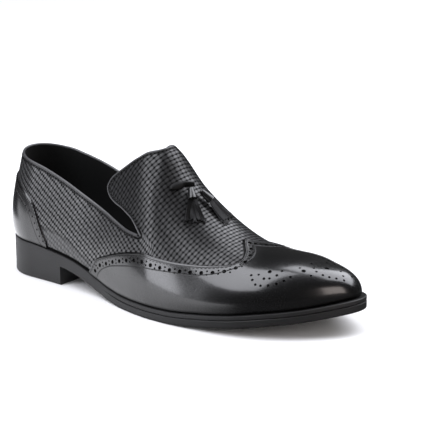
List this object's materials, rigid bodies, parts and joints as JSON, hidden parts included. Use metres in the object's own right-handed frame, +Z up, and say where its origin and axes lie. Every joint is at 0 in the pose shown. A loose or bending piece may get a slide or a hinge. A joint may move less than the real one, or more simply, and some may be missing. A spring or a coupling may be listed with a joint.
{
  "type": "tassel loafer",
  "caption": "Slip-on shoe for the right foot with a winged toe cap, a woven-embossed vamp with a high tab, tassels on the vamp, and a welted rubber sole with a low heel.",
  "frame": {"origin": "on the floor, under the middle of the shoe's outline seen from above", "axes": "+X from heel to toe, +Y to the inner side of the right foot, +Z up"},
  "size_m": [0.301, 0.102, 0.1108],
  "materials": {
    "woven_leather": "black leather with a fine embossed basket weave, satin",
    "smooth_leather": "smooth black calf leather, polished, with punched holes along the seams",
    "piping": "black leather binding, satin",
    "tassel_leather": "black leather strips, satin",
    "lining": "black lining leather, matt",
    "welt": "charcoal, satin",
    "rubber": "charcoal, matt"
  },
  "bodies": {
    "root": {"upper": "woven_leather", "wingtip": "smooth_leather", "counter": "smooth_leather", "tab_piping": "piping", "collar_piping": "piping", "tassel_thong": "tassel_leather", "tassel_lateral": "tassel_leather", "tassel_medial": "tassel_leather", "insole": "lining", "welt": "welt", "outsole": "rubber", "heel": "rubber"}
  },
  "joints": []
}
